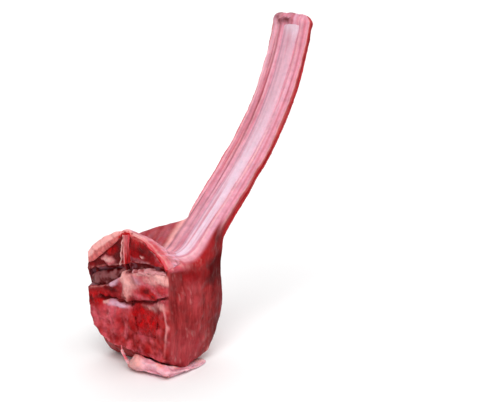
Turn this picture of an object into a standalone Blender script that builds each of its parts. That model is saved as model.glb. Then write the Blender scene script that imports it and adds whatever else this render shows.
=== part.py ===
"""A raw mutton rib chop of double thickness, standing on its back fat with the long rib up.

The chop is one block of meat, cut across the back on both sides (Y) and sawn along the middle of the spine (X = 0).
From the block the rib runs out and up, bedded in a strip of meat, its lining side up.
In the sawn face lie two halved vertebrae with the disc between them, under a strip of ligament fat.

Lengths below are in millimetres, measured from the sawn face and the middle of the block. The model is then moved so
that its origin is in the middle of the fat's flat underside. +X is away from the sawn face, -Y is the side that the rib
is flush with, +Z is up.
"""

import math

import bpy
import numpy as np

MM = 0.001
GAP = 0.35  # between neighbouring solids

# The block, as cut
CHINE_LENGTH = 54.0  # along the spine, which is the chop's thickness
BLOCK_TOP = 64.0  # height of the lining at the sawn face
EYE_WIDTH = 48.5  # from the sawn face to the outer side of the eye muscle
PLACED = (-16.0, 13.0, 0.0)  # moves the origin to the middle of the fat's underside
NEAR_Y = -CHINE_LENGTH / 2
FAR_Y = CHINE_LENGTH / 2

# The strip of meat that carries the rib
STRIP_WIDTH = 23.5
STRIP_THICK = 8.2
STRIP_END = 187.0  # distance along the lining from the sawn face
# Heading of the lining above the horizontal, in degrees, at distances along it
LINING_HEADING = ((0, -9), (20, -7), (33, 35), (58, 36.5), (80, 38), (105, 43), (130, 51.5), (155, 62), (190, 76))

# The rib in it
RIB_START, RIB_END = 17.0, 181.0
RIB_WIDTH = (10.0, 12.5)  # at its head and at its sawn end
RIB_DEPTH = 6.0
RIB_PROUD = 0.7  # how far it stands out of the meat on the lining side
RIB_Y = NEAR_Y + 9.8

# The spine. Heights at points along Y: top of the bodies, canal roof, canal floor, bottom of the arch
SPINE_Y = (-27.0, -14.5, -1.0, 1.0, 14.0, 27.0)
SPINE_TOP = (64.5, 73.5, 77.0, 77.0, 70.5, 60.5)
CANAL_ROOF = (61.0, 61.5, 59.5, 58.5, 55.0, 51.5)
CANAL_FLOOR = (57.5, 57.0, 53.5, 52.5, 44.5, 41.0)
ARCH_BOTTOM = (40.0, 40.0, 39.0, 38.0, 35.0, 30.5)
SPINOUS_Y = (-20.0, -4.5)  # the stretch where the spinous process runs down from the arch
SPINOUS_BOTTOM = 21.0
BODY_HALF_WIDTH = 13.5
DISC_THICK = 3.2
LIGAMENT_THICK = (1.6, 2.0, 2.4, 2.6, 4.8, 6.2)  # at SPINE_Y

# The fat under the near side
FAT_THICK = 7.2
FAT_LIP = 2.8  # how far it stands out beyond the cut faces

MEAT_RED = (0.42, 0.055, 0.06, 1.0)
BONE_PINK = (0.72, 0.42, 0.42, 1.0)
MARROW_RED = (0.36, 0.02, 0.02, 1.0)
CARTILAGE = (0.78, 0.48, 0.46, 1.0)
FAT_CREAM = (0.83, 0.6, 0.57, 1.0)


def smooth(low, high, value):
    """0 below low, 1 above high, and an S-curve between them."""
    t = np.clip((value - low) / (high - low), 0.0, 1.0)
    return t * t * (3 - 2 * t)


def lining(s):
    """(x, z, heading in radians) of the lining at distances s along it, by adding up its heading in small steps."""
    steps = np.linspace(0.0, 205.0, 821)
    at, degrees = zip(*LINING_HEADING)
    heading = np.radians(np.interp(steps, at, degrees))
    step = steps[1] - steps[0]
    x = np.concatenate([[0.0], np.cumsum(np.cos(heading[:-1]) * step)])
    z = BLOCK_TOP + np.concatenate([[0.0], np.cumsum(np.sin(heading[:-1]) * step)])
    return np.interp(s, steps, x), np.interp(s, steps, z), np.interp(s, steps, heading)


def fat_top(x, y):
    """Height of the fat's upper side: thick at the near side and the sawn face, and thin where it ends under the meat."""
    return np.maximum((FAT_THICK + 0.12 * (y - NEAR_Y)) * (1 - smooth(-8, 31, x)) * (1 - smooth(-9, 6, y)), 0.9)


def underside(x, y):
    """Height of the meat's underside, which curves up towards the sawn face and its far corner."""
    edge_lift = np.interp(y, (-27, -14, 0, 14, 21, 27), (7, 9, 11, 12, 16, 28))
    return edge_lift * (1 - smooth(0, 15, x))


def outer_side(s, y):
    """(x, z) of the block's outline below and beyond the lining: its underside, its rounded side and the strip's back."""
    distances = (0, 10, 20, 25, 30, 35, 39, 43, 48, 53, 58)
    near_x = np.interp(s, distances, (0, 13, 24, 29, 36, 43, 47, 48.5, 49, 49.5, 53))
    near_z = np.interp(s, distances, (0, 0, 0, 0.5, 2.5, 9, 20, 35, 52, 63, 70))
    far_x = np.interp(s, distances, (0, 13, 27, 36, 44, 50, 52.5, 53, 52, 50.5, 53))
    far_z = np.interp(s, distances, (0, 0, 0, 0, 0, 6, 17, 33, 51, 63, 70))
    fuller = smooth(-25, -3, y)
    block_x, height = near_x + (far_x - near_x) * fuller, near_z + (far_z - near_z) * fuller
    block_z = height + underside(block_x, y) * (1 - smooth(20, 30, s))
    x, z, heading = lining(s)
    thick = STRIP_THICK * (1 - 0.1 * smooth(120, STRIP_END, s))
    strip_x, strip_z = x + thick * np.sin(heading), z - thick * np.cos(heading)
    blend = smooth(50, 60, s)
    return block_x + (strip_x - block_x) * blend, np.maximum(block_z + (strip_z - block_z) * blend, 0.0)


def far_side(s):
    """Y of the far side: the whole thickness in the block, the strip's width beyond it."""
    return FAR_Y - (CHINE_LENGTH - STRIP_WIDTH) * smooth(32, 52, s)


def lining_rise(x, y):
    """How far the lining rises over the vertebrae, and falls towards the far side."""
    fan = 9.5 * np.exp(-((y / 15.0) ** 2)) * (1 - smooth(10, 26, x))
    return fan - 4.0 * smooth(-20, 27, y) * (1 - smooth(20, 45, x))


def rounded_loop(count, sharpness):
    """Points of a unit square's outline, drawn in to a superellipse. Each is (p, q), from -1 to 1."""
    side = np.linspace(-1, 1, count, endpoint=False)
    one = np.ones(count)
    p = np.concatenate([-side, -one, side, one])
    q = np.concatenate([-one, side, one, -side])
    scale = (np.abs(p) ** sharpness + np.abs(q) ** sharpness) ** (-1 / sharpness)
    return p * scale, q * scale


def meat_point(s, y, depth):
    """The point at distance s along the lining, at y, and depth from 0 on the lining to 1 on the outer side."""
    x, z, _ = lining(s)
    z = z + lining_rise(x, y)
    outer_x, outer_z = outer_side(s, y)
    return np.stack([x + (outer_x - x) * depth, y + 0 * x, z + (outer_z - z) * depth], axis=-1)


def new_object(name, verts, faces, material, helper=False):
    """An object from points in millimetres, moved to its place."""
    mesh = bpy.data.meshes.new(name)
    placed = (np.asarray(verts, float) + PLACED) * MM
    mesh.from_pydata(placed.tolist(), [], faces)
    mesh.update()
    obj = bpy.data.objects.new(name, mesh)
    bpy.context.scene.collection.objects.link(obj)
    if helper:
        obj.hide_render = True
        obj.display_type = "WIRE"
    else:
        mesh.materials.append(material)
        mesh.shade_smooth()
        mesh.set_sharp_from_angle(angle=math.radians(40))
    return obj


def loft(name, rings, material=None, helper=False):
    """A closed solid through rings, an array of (rings, points of a ring, 3), with a flat cap on each end."""
    count, around = rings.shape[:2]
    faces = []
    for i in range(count - 1):
        for j in range(around):
            after = (j + 1) % around
            a, b = i * around, (i + 1) * around
            faces.append((a + j, a + after, b + after, b + j))
    faces.append(tuple(reversed(range(around))))
    faces.append(tuple(range((count - 1) * around, count * around)))
    return new_object(name, rings.reshape(-1, 3), faces, material, helper)


def cut(obj, cutter):
    modifier = obj.modifiers.new("cut_" + cutter.name, "BOOLEAN")
    modifier.operation = "DIFFERENCE"
    modifier.solver = "EXACT"
    modifier.object = cutter


def make_meat(material):
    """The block and the strip in one loft along the lining."""
    along = np.concatenate([np.linspace(0, 24, 8), np.linspace(27, 60, 14), np.linspace(67, 180, 17), [183.5, 186, STRIP_END]])
    p, q = rounded_loop(11, 9.0)
    rings = []
    for s in along:
        far = far_side(s)
        middle, half = (NEAR_Y + far) / 2, (far - NEAR_Y) / 2
        end = 1 - 0.16 * smooth(183, STRIP_END, s)
        rings.append(meat_point(np.full(p.shape, s), middle + half * end * p, 0.5 + 0.5 * end * q))
    return loft("meat", np.array(rings), material)


def rib_ring(s, grow):
    """One section across the rib, grown by a margin."""
    x, z, heading = lining(s)
    share = (s - RIB_START) / (RIB_END - RIB_START)
    half_width = (RIB_WIDTH[0] + (RIB_WIDTH[1] - RIB_WIDTH[0]) * share) / 2 * (0.72 + 0.28 * smooth(0, 0.06, share)) + grow
    high, low = RIB_PROUD + grow, RIB_DEPTH + grow
    p, q = rounded_loop(4, 3.0)
    depth = (low - high) / 2 + q * (low + high) / 2
    return np.stack([x + depth * np.sin(heading), RIB_Y + half_width * p, z - depth * np.cos(heading)], axis=-1)


def make_rib(name, grow, material=None, helper=False):
    along = np.linspace(RIB_START - grow, RIB_END + grow, 34)
    return loft(name, np.array([rib_ring(s, grow) for s in along]), material, helper)


def levels(y):
    """Heights of the spine at y: top of the ligament, top of the bone, canal roof, canal floor, bottom of the arch."""
    top, roof, floor, bottom, ligament = (
        np.interp(y, SPINE_Y, heights) for heights in (SPINE_TOP, CANAL_ROOF, CANAL_FLOOR, ARCH_BOTTOM, LIGAMENT_THICK)
    )
    spinous = smooth(SPINOUS_Y[0] - 3, SPINOUS_Y[0] + 2, y) * (1 - smooth(SPINOUS_Y[1] - 3, SPINOUS_Y[1] + 2, y))
    return top, top - ligament, roof, floor, bottom - (bottom - SPINOUS_BOTTOM) * spinous


def dome(top, roof):
    """The body's rounded upper outline, from the sawn face down its side to the canal's roof, as (x, z) points."""
    thick = top - roof + 0.5
    angles = np.radians(np.linspace(90, 0, 7))
    return [(BODY_HALF_WIDTH * math.cos(a), top - thick * (1 - math.sin(a))) for a in angles]


def arch_side(roof, floor, bottom, grow=0.0):
    """The outer side of the arch, from the body's side down to its bottom."""
    start = floor - 2.0
    profile = ((9.2, 0.0), (7.6, 0.35), (5.2, 0.75), (3.8, 1.0))
    side = [(x + grow, start + (bottom - start) * t - grow * t) for x, t in profile]
    return [(11.0 + grow, (roof + floor) / 2)] + side


def stations(start, end):
    """Where along the spine its sections are taken: on one grid for every solid, so that neighbours keep their gap."""
    grid = np.arange(-21, 22) * 1.4
    return [start] + [y for y in grid if start + 0.2 < y < end - 0.2] + [end]


def spine_ring(y):
    """A halved vertebra's section at y: body, side of the arch, arch, and the canal open to the sawn face."""
    _, bone_top, roof, floor, bottom = levels(y)
    body = dome(bone_top, roof)
    half_canal = (roof - floor) / 2
    canal = [(half_canal * 0.9 * math.cos(a), floor + half_canal * (1 + math.sin(a))) for a in np.radians(np.linspace(-90, 90, 7))]
    points = body + arch_side(roof, floor, bottom) + [(0.0, bottom), (0.0, (bottom + floor) / 2)] + canal + [(0.0, (roof + bone_top) / 2)]
    return np.array([(x, y, z) for x, z in points])


def make_vertebra(name, start, end, material):
    """One halved vertebra, lofted along the spine."""
    rings = np.array([spine_ring(y) for y in stations(start, end)])
    return loft(name, rings, material)


def make_spine_pocket():
    """What the spine takes out of the meat: its outline all over, grown by the gap and open to the sawn face."""
    rings = []
    for y in stations(NEAR_Y - 3, FAR_Y + 3):
        top, _, roof, floor, bottom = levels(y)
        wide = BODY_HALF_WIDTH + GAP
        above = [(-6.0, bottom - GAP), (-6.0, top + 12.0), (wide, top + 12.0), (wide, roof - 0.6)]
        rings.append([(x, y, z) for x, z in above + arch_side(roof, floor, bottom, GAP)])
    return loft("spine_pocket", np.array(rings), helper=True)


def make_disc(material):
    """The disc between the two bodies."""
    rings = []
    for y in np.linspace(-DISC_THICK / 2 + GAP, DISC_THICK / 2 - GAP, 3):
        _, bone_top, roof, _, _ = levels(y)
        outline = dome(bone_top, roof) + [(0.0, roof)]
        rings.append([(x, y, z) for x, z in outline])
    return loft("disc", np.array(rings), material)


def make_ligament(material):
    """The strip of ligament and fat that lies over both bodies and the disc."""
    rings = []
    for y in stations(NEAR_Y + 0.4, FAR_Y - 0.4):
        top, bone_top, roof = levels(y)[:3]
        outer = dome(top, roof)[:5]
        inner = dome(bone_top + GAP, roof)[:5]
        rings.append([(x, y, z) for x, z in outer + inner[::-1]])
    return loft("ligament", np.array(rings), material)


def make_fat(name, grow, material=None, helper=False):
    """The fat under the near side, lofted across it: flat below, with a lip in front, and grown by a margin."""
    rings = []
    for x in np.linspace(-FAT_LIP - grow, 33.0 + grow, 20):
        ends = math.sqrt(max(0.0, 1 - abs((x - 15.1) / (18.4 + grow)) ** 4))
        front = NEAR_Y + 2.2 - (FAT_LIP + 2.2) * ends - grow
        back = -1.0 + 3.0 * math.sin(0.2 * x) + grow
        covered = np.linspace(front + 2.6, back, 12)
        heights = fat_top(max(x, 0.0), covered) * (0.35 + 0.65 * ends) + grow
        lip, low = heights[0], 2.2 * (1 - float(smooth(-FAT_LIP, 2.5, x))) - grow
        edge = [(back, low), (front + 3.2, low), (front, low + 0.5 * (lip - low)), (front + 0.9, low + 0.9 * (lip - low))]
        rings.append([(x, y, z) for y, z in edge + list(zip(covered, heights))])
    return loft(name, np.array(rings)[:, ::-1], material, helper)


def new_material(name, colour, roughness):
    material = bpy.data.materials.new(name)
    material.use_nodes = True
    shader = material.node_tree.nodes["Principled BSDF"]
    shader.inputs["Base Color"].default_value = colour
    shader.inputs["Roughness"].default_value = roughness
    shader.inputs["Metallic"].default_value = 0.0
    return material


def main():
    for obj in list(bpy.data.objects):
        bpy.data.objects.remove(obj)
    meat = make_meat(new_material("raw_meat", MEAT_RED, 0.35))
    bone = new_material("bone", BONE_PINK, 0.4)
    marrow = new_material("marrow", MARROW_RED, 0.4)
    make_rib("rib_bone", 0.0, bone)
    cut(meat, make_rib("rib_bed", GAP, helper=True))
    cut(meat, make_spine_pocket())
    make_vertebra("vertebra_near", NEAR_Y + 0.4, -DISC_THICK / 2, marrow)
    make_vertebra("vertebra_far", DISC_THICK / 2, FAR_Y - 0.4, marrow)
    make_disc(new_material("cartilage", CARTILAGE, 0.35))
    make_ligament(new_material("ligament_fat", FAT_CREAM, 0.4))
    make_fat("fat_cap", 0.0, new_material("back_fat", FAT_CREAM, 0.4))
    cut(meat, make_fat("fat_bed", GAP, helper=True))


main()
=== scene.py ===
"""A raw mutton rib chop: muscle, rib, halved vertebrae, disc, ligament and fat, finished over its solids.

Shapes are worked out in millimetres from the sawn face (X = 0), the middle of the chop's thickness (Y = 0)
and the surface that it stands on (Z = 0), as the solids are, and are then moved to their place in metres.
"""

from types import SimpleNamespace

import bpy
import numpy as np
from bpy.props import FloatProperty, FloatVectorProperty, PointerProperty
from bpy.types import Operator, Panel, PropertyGroup
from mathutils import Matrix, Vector


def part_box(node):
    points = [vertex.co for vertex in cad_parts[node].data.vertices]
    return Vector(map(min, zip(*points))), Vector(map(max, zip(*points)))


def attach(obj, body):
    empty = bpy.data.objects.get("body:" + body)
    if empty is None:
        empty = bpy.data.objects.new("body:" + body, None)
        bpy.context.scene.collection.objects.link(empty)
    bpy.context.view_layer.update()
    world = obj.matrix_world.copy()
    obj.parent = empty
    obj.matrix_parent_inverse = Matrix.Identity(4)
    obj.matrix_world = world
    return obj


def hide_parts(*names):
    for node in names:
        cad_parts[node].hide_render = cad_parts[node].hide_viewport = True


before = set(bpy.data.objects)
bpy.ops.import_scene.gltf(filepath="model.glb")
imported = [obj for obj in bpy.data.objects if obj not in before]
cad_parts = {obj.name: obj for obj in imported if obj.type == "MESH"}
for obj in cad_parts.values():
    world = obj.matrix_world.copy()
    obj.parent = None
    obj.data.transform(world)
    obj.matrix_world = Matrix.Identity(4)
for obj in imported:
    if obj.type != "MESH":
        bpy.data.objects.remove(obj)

bl_info = {
    "name": "Raw Mutton Rib Chop",
    "version": (1, 0, 0),
    "blender": (4, 5, 0),
    "location": "3D View > Sidebar > Chop",
    "description": "Builds the finished surfaces of a thick raw rib chop over its solids",
    "category": "Object",
}

MM = 0.001
NEAR_Y, FAR_Y = -27.0, 27.0
MEAT_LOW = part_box("meat")[0]
PLACED = np.array([MEAT_LOW[0] / MM, MEAT_LOW[1] / MM - NEAR_Y, 0.0])

BLOCK_TOP = 64.0
STRIP_WIDTH, STRIP_THICK, STRIP_END = 23.5, 8.2, 187.0
# Distances along the lining from the sawn face, and its heading there in degrees
LINING_AT = (0, 20, 33, 58, 80, 105, 130, 155, 190)
LINING_HEADING = (-9, -7, 35, 36.5, 38, 43, 51.5, 62, 76)
RIB_START, RIB_END, RIB_WIDTH, RIB_DEPTH, RIB_PROUD = 17.0, 181.0, (10.0, 12.5), 6.0, 0.7
RIB_Y = NEAR_Y + 9.8
# Heights and thicknesses at places along the spine
SPINE_Y = (-27.0, -19.0, -12.0, -1.0, 1.0, 14.0, 27.0)
SPINE_TOP = (62.2, 69.0, 74.3, 77.0, 77.0, 70.5, 60.5)
CANAL_ROOF = (59.6, 61.0, 61.1, 59.5, 58.5, 55.0, 51.5)
CANAL_FLOOR = (56.8, 57.1, 56.3, 53.5, 52.5, 44.5, 41.0)
ARCH_BOTTOM = (40.0, 40.0, 39.8, 39.0, 38.0, 35.0, 30.5)
LIGAMENT_THICK = (1.6, 1.9, 2.1, 2.4, 2.6, 4.8, 6.2)
SPINOUS_Y, SPINOUS_BOTTOM = (-20.0, -4.5), 21.0
BODY_HALF_WIDTH, DISC_THICK = 13.5, 3.2
FAT_THICK, FAT_LIP, FAT_END = 7.2, 2.8, 33.0
# The arch's widths, from just below the canal's floor (0) down to its bottom (1)
ARCH_STEPS, ARCH_WIDTHS = (0.0, 0.35, 0.75, 1.0), (9.2, 7.6, 5.2, 3.8)
# Height of the near side's lip, by distance from the sawn face
LIP_X, LIP_Z = (0, 5, 22, 38, 46, 52), (59, 57.5, 54.5, 54, 58.5, 66)
# The fat's folds by distance round its lip and height, and the loose flap's path and widths
UPPER_FOLD = [(7, 7.4), (14, 6.0), (24, 5.2), (36, 4.0), (50, 3.0)]
LOWER_FOLD = [(12, 4.0), (20, 3.0), (30, 2.6), (40, 1.6)]
FLAP_PATH = [(1.2, 5.5, 12.8), (-0.8, 3.8, 10.2), (-1.8, 0.8, 7.0), (-2.2, -3.0, 4.2), (-1.8, -7.0, 2.8)]
FLAP_WIDTHS = (1.0, 1.8, 2.6, 3.4, 3.0)
# The stage: lights as (name, place, power, spread in degrees), the sky's strength as light and as seen, the
# camera's lens and sensor width, its place, and its turn and rise in degrees
LIGHTS = (
    ("key", (-0.62, -0.34, 0.8), 1.9, 35.0),
    ("fill", (0.1, -0.8, 0.8), 0.7, 60.0),
    ("back", (0.6, 0.5, 0.8), 0.9, 60.0),
)
SKY_LIGHT, SKY_SEEN = 0.4, 1.05
LENS, CAMERA_PLACE, CAMERA_TURN = (100.44, 36.0), (-549.6, -442.1, 275.9), (-54.839, 14.707)
FLOOR_HALF, FLOOR_HEIGHT = 4.0, -0.0002

# Layers of tissue: rosy, pale and cool tissue, blood, and deep, which is dark blood and also painted shade in
# creases, pits, slits, folds, the canal and under the lip; pale and cool also carry some painted highlights
LAYERS = ("rosy", "pale", "cool", "blood", "deep")
SKEW = np.array([[0.78, 0.36, -0.51], [-0.54, 0.80, -0.26], [0.32, 0.48, 0.82]])


# Numbers over a surface


def smooth(low, high, value):
    """0 below low, 1 above high, and an S-curve between them."""
    t = np.clip((value - low) / (high - low), 0.0, 1.0)
    return t * t * (3 - 2 * t)


def bell(value, middle, width):
    """1 at the middle, falling on both sides as e to the minus square of the distance in widths."""
    return np.exp(-(((value - middle) / width) ** 2))


def lattice(cell, seed):
    """A number from -1 to 1 for each whole-numbered cell of space, mixed from its indices and the seed."""
    x, y, z = (cell[..., i].astype(np.int64) for i in range(3))
    mixed = (x * 73856093) ^ (y * 19349663) ^ (z * 83492791) ^ (seed * 39916801)
    mixed = ((mixed ^ (mixed >> 13)) * 1274126177) & 0x7FFFFFFF
    return ((mixed ^ (mixed >> 15)) & 0xFFFF) / 32767.5 - 1.0


def ripple(points, size, seed):
    """Smooth random height in space: the numbers of a cell's eight corners, blended by S-curves of the place.

    The cells are turned askew to the axes, so that their edges don't show as straight lines.
    """
    place = points / np.asarray(size, float) @ SKEW
    cell = np.floor(place)
    t = place - cell
    t = t * t * (3 - 2 * t)
    total = 0.0
    for corner in np.ndindex(2, 2, 2):
        weight = np.prod(np.where(corner, t, 1 - t), axis=-1)
        total = total + weight * lattice(cell + corner, seed)
    return total


def rough(points, size, seed, octaves=3):
    """Ripples of halving size and height, added up."""
    size = np.asarray(size, float)
    return sum(ripple(points, size / 2**i, seed + 17 * i) / 2**i for i in range(octaves))


def patch(y, z, at, size, turn=0.0, edge=0.35):
    """A soft-edged ellipse in the plane of Y and Z: 1 inside and 0 outside."""
    c, s = np.cos(np.radians(turn)), np.sin(np.radians(turn))
    u = (y - at[0]) * c + (z - at[1]) * s
    v = (z - at[1]) * c - (y - at[0]) * s
    return 1 - smooth(1 - edge, 1 + edge, np.hypot(u / size[0], v / size[1]))


def stroke(y, z, path, width):
    """A soft line along a path of (y, z) points: 1 on it, 0 at its width to each side."""
    nearest = np.full(np.shape(y), 1e9)
    for (ay, az), (by, bz) in zip(path[:-1], path[1:]):
        along, up = by - ay, bz - az
        t = np.clip(((y - ay) * along + (z - az) * up) / (along**2 + up**2), 0, 1)
        nearest = np.minimum(nearest, np.hypot(y - ay - t * along, z - az - t * up))
    return 1 - smooth(0.25 * width, width, nearest)


def stack(*parts):
    """Points from their coordinates, each an array or a number."""
    return np.stack(np.broadcast_arrays(*parts), axis=-1)


def painted(strand, drawn, **layers):
    """Masks by name: the painted layers cut off at 0 and 1, the strands, and how far those are drawn."""
    masks = {key: np.clip(layers[key], 0, 1) for key in LAYERS}
    return {**masks, "strand": 0.5 + strand, "drawn": drawn}


# The chop's lines


def lining(s):
    """(x, z, heading in radians) of the lining at distances s along it: the sum of small steps along it."""
    steps = np.linspace(0.0, 205.0, 821)
    heading = np.radians(np.interp(steps, LINING_AT, LINING_HEADING))
    stride = steps[1] - steps[0]
    x = np.concatenate([[0.0], np.cumsum(np.cos(heading[:-1]) * stride)])
    z = BLOCK_TOP + np.concatenate([[0.0], np.cumsum(np.sin(heading[:-1]) * stride)])
    return np.interp(s, steps, x), np.interp(s, steps, z), np.interp(s, steps, heading)


def underside(x, y):
    """Height of the meat's underside, which curves up towards the sawn face and its far corner."""
    edge_lift = np.interp(y, (-27, -14, 0, 14, 21, 27), (7, 9, 11, 12, 16, 28))
    return edge_lift * (1 - smooth(0, 15, x))


def outer_side(s, y):
    """(x, z) of the outline beyond the lining: the block's underside and side, then the strip's back."""
    distances = (0, 10, 20, 25, 30, 35, 39, 43, 48, 53, 58)
    near_x = np.interp(s, distances, (0, 13, 24, 29, 36, 43, 47, 48.5, 49, 49.5, 53))
    near_z = np.interp(s, distances, (0, 0, 0, 0.5, 2.5, 9, 20, 35, 52, 63, 70))
    far_x = np.interp(s, distances, (0, 13, 27, 36, 44, 50, 52.5, 53, 52, 50.5, 53))
    far_z = np.interp(s, distances, (0, 0, 0, 0, 0, 6, 17, 33, 51, 63, 70))
    fuller = smooth(-25, -3, y)
    block_x, height = near_x + (far_x - near_x) * fuller, near_z + (far_z - near_z) * fuller
    block_z = height + underside(block_x, y) * (1 - smooth(20, 30, s))
    x, z, heading = lining(s)
    thick = STRIP_THICK * (1 - 0.1 * smooth(120, STRIP_END, s))
    blend = smooth(50, 60, s)
    outer_x = block_x + (x + thick * np.sin(heading) - block_x) * blend
    return outer_x, np.maximum(block_z + (z - thick * np.cos(heading) - block_z) * blend, 0.0)


def far_side(s):
    """Y of the far side: the whole thickness in the block, the strip's width beyond it."""
    return FAR_Y - (FAR_Y - NEAR_Y - STRIP_WIDTH) * smooth(32, 52, s)


def lining_rise(x, y):
    """How far the lining rises over the vertebrae, and falls towards the far side."""
    fan = 9.5 * np.exp(-((y / 15.0) ** 2)) * (1 - smooth(10, 26, x))
    return fan - 4.0 * smooth(-20, 27, y) * (1 - smooth(20, 45, x))


def spine_levels(y):
    """Heights of the spine at y: ligament's top, bone's top, canal's roof and floor, arch's bottom."""
    tables = (SPINE_TOP, CANAL_ROOF, CANAL_FLOOR, ARCH_BOTTOM, LIGAMENT_THICK)
    top, roof, floor, bottom, ligament = (np.interp(y, SPINE_Y, heights) for heights in tables)
    start, end = SPINOUS_Y
    spinous = smooth(start - 3, start + 2, y) * (1 - smooth(end - 3, end + 2, y))
    return top, top - ligament, roof, floor, bottom - (bottom - SPINOUS_BOTTOM) * spinous


def rib_half(s):
    """Half the rib's width at distances s along the lining."""
    return np.interp(s, (RIB_START, RIB_END), RIB_WIDTH) / 2


def arch_reach(y, z):
    """How far the bone reaches in from the sawn face at (y, z), and the bottom of the arch there.

    It is the body's half width above the canal, and the arch's width below it.
    """
    _, _, roof, floor, bottom = spine_levels(y)
    start = floor - 2.0
    t = np.clip((start - z) / np.maximum(start - bottom, 0.1), 0, 1)
    return np.where(z > (roof + floor) / 2, BODY_HALF_WIDTH, np.interp(t, ARCH_STEPS, ARCH_WIDTHS)), bottom


# Tubes


def rounded_loop(count, sharpness):
    """Points of a unit square's outline, drawn in to a superellipse. Each is (p, q), from -1 to 1."""
    side = np.linspace(-1, 1, count, endpoint=False)
    one = np.ones(count)
    p = np.concatenate([-side, -one, side, one])
    q = np.concatenate([-one, side, one, -side])
    scale = (np.abs(p) ** sharpness + np.abs(q) ** sharpness) ** (-1 / sharpness)
    return p * scale, q * scale


def outline(corners, counts):
    """Outlines through their corners, with counts[i] points along the i-th side, the last side closing them.

    A corner is its two coordinates, each an array with one number for each ring.
    """
    rings = np.stack([stack(*corner) for corner in corners], axis=1)
    closed = np.concatenate([rings, rings[:, :1]], axis=1)
    sides = [
        closed[:, i, None] + (closed[:, i + 1, None] - closed[:, i, None]) * (np.arange(n) / n)[None, :, None]
        for i, n in enumerate(counts)
    ]
    return np.concatenate(sides, axis=1)


def dome(width, top, foot, angles, out=0.0, down=0.0):
    """Corners over the bodies: a quarter ellipse from its top at X = 0 to its foot at the width.

    Out and down move each corner away from the ellipse.
    """
    moved = zip(angles, out + 0 * angles, down + 0 * angles)
    return [(width * np.cos(a) + o, top - (top - foot) * (1 - np.sin(a)) - d) for a, o, d in moved]


def across_spine(y, loops):
    """Rings in space from loops of (x, z), one for each y."""
    return np.concatenate([loops[..., :1], 0 * loops[..., :1] + y[:, None, None], loops[..., 1:]], axis=-1)


def capped(rings, first, last):
    """A tube of rings, closed at each end by rings that shrink towards the end's middle."""

    def cap(ring, count):
        """Rings drawn in evenly towards the ring's middle, the innermost first."""
        middle = ring.mean(axis=0)
        share = (np.arange(count) + 0.5) / count
        return middle + (ring - middle) * share[:, None, None]

    return np.concatenate([cap(rings[0], first), rings, cap(rings[-1], last)[::-1]])


def coordinates(tube):
    """The x, y and z of a tube's points, as views into it."""
    return np.moveaxis(tube, -1, 0)


def swell(rings, height):
    """A tube moved along its normals, which are the cross products of the steps around it and along it."""
    around = np.roll(rings, -1, axis=1) - np.roll(rings, 1, axis=1)
    normal = np.cross(around, np.gradient(rings, axis=0))
    normal = normal / np.maximum(np.linalg.norm(normal, axis=-1, keepdims=True), 1e-9)
    return rings + normal * height[..., None]


def tube_faces(count, around):
    """Quads between neighbouring rings, and a fan of triangles to a middle point at each end."""
    i = np.arange(count - 1)[:, None] * around
    j, after = np.arange(around)[None], (np.arange(around)[None] + 1) % around
    quads = np.stack([i + j, i + after, i + around + after, i + around + j], axis=-1).reshape(-1, 4)
    first, last = count * around, (count - 1) * around
    start = np.stack([np.full(around, first), after[0], j[0]], axis=-1)
    end = np.stack([np.full(around, first + 1), last + j[0], last + after[0]], axis=-1)
    return quads, np.concatenate([start, end])


def new_piece(name, tubes, material, nodes=()):
    """One object from closed tubes, each as (rings in mm, masks by name), its faces pointing outwards."""
    points, quads, triangles, layers, base = [], [], [], {}, 0
    for rings, masks in tubes:
        count, around = rings.shape[:2]
        ends = np.stack([rings[0].mean(axis=0), rings[-1].mean(axis=0)])
        points.append(np.concatenate([rings.reshape(-1, 3), ends]))
        four, three = tube_faces(count, around)
        quads.append(four + base)
        triangles.append(three + base)
        for key, mask in masks.items():
            flat = np.broadcast_to(mask, (count, around))
            values = np.concatenate([flat.ravel(), [flat[0].mean(), flat[-1].mean()]])
            layers.setdefault(key, []).append(values)
        base += count * around + 2
    points, quads, triangles = np.concatenate(points), np.concatenate(quads), np.concatenate(triangles)
    mesh = bpy.data.meshes.new(name)
    mesh.vertices.add(len(points))
    mesh.vertices.foreach_set("co", ((points + PLACED) * MM).astype(np.float32).ravel())
    mesh.loops.add(quads.size + triangles.size)
    corners = np.concatenate([quads.ravel(), triangles.ravel()])
    mesh.loops.foreach_set("vertex_index", corners.astype(np.int32))
    mesh.polygons.add(len(quads) + len(triangles))
    starts = np.concatenate([np.arange(len(quads)) * 4, quads.size + np.arange(len(triangles)) * 3])
    mesh.polygons.foreach_set("loop_start", starts.astype(np.int32))
    for key, values in layers.items():
        layer = mesh.attributes.new(key, "FLOAT", "POINT")
        layer.data.foreach_set("value", np.concatenate(values).astype(np.float32))
    mesh.update(calc_edges=True)
    mesh.validate()
    mesh.shade_smooth()
    mesh.materials.append(material)
    piece = bpy.data.objects.new(name, mesh)
    bpy.context.scene.collection.objects.link(piece)
    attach(piece, "root")
    if nodes:
        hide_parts(*nodes)
    return piece


# Materials


def node_group(name, inputs, outputs):
    """An empty shader node group with named sockets. An input is (name, kind, default)."""
    group = bpy.data.node_groups.new(name, "ShaderNodeTree")
    for label, kind, default in inputs:
        socket = group.interface.new_socket(label, in_out="INPUT", socket_type="NodeSocket" + kind)
        if default is not None:
            socket.default_value = default
    for label, kind in outputs:
        group.interface.new_socket(label, in_out="OUTPUT", socket_type="NodeSocket" + kind)
    return group, group.nodes.new("NodeGroupInput").outputs, group.nodes.new("NodeGroupOutput").inputs


def node(tree, kind, settings=None, **sockets):
    """A shader node with its settings, and each socket set to a value or linked to another node's output.

    A socket goes by its name, or by its number after an i.
    """
    made = tree.nodes.new("ShaderNode" + kind)
    for key, value in (settings or {}).items():
        setattr(made, key, value)
    for key, value in sockets.items():
        numbered = key[0] == "i" and key[1:].isdigit()
        socket = made.inputs[int(key[1:]) if numbered else key.replace("_", " ")]
        if isinstance(value, bpy.types.NodeSocket):
            tree.links.new(value, socket)
        else:
            socket.default_value = value
    return made


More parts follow.
